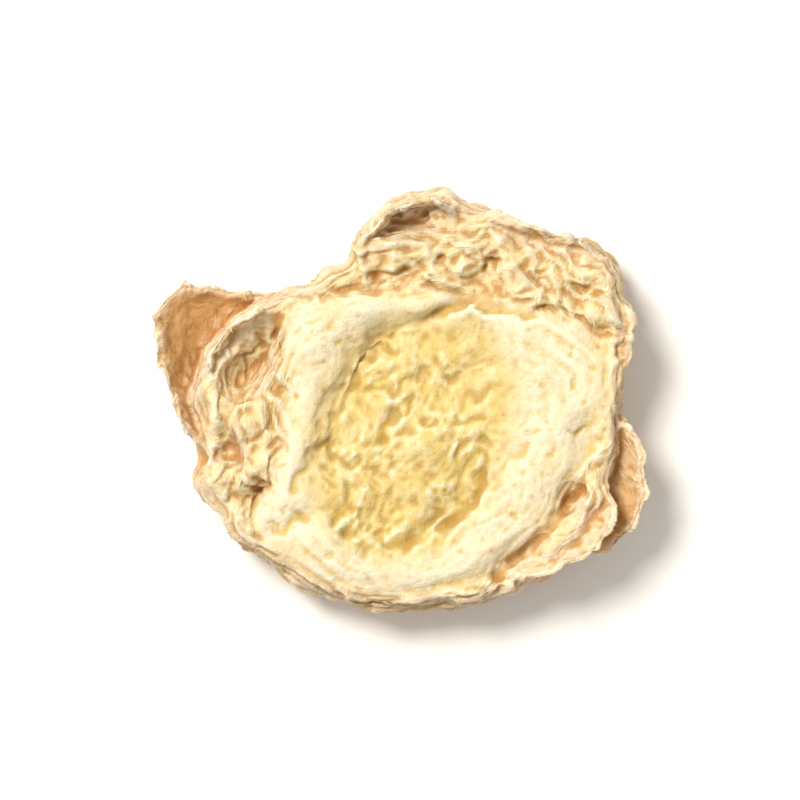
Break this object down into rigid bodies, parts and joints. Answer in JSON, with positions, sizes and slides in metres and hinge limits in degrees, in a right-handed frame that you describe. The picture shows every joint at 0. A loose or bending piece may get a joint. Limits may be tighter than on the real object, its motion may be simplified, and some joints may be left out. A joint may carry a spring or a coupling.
{
  "type": "dried ginger slice",
  "caption": "Slice of dried ginger root with a sunken yellow middle, a pale cortex band and a ragged rim of tan skin with torn flaps and folds.",
  "frame": {"origin": "centre of the slice's bounding box, at the table that its lower cut face rests on", "axes": "+X along the slice's longest way, towards the layered skin folds; +Z out of the upper cut face"},
  "size_m": [0.0242, 0.0206, 0.0054],
  "materials": {
    "dried_ginger": "dry, starchy cut faces with a matte, wrinkled corky skin at the rim"
  },
  "bodies": {
    "root": {"ginger_slice": "dried_ginger"}
  },
  "joints": []
}
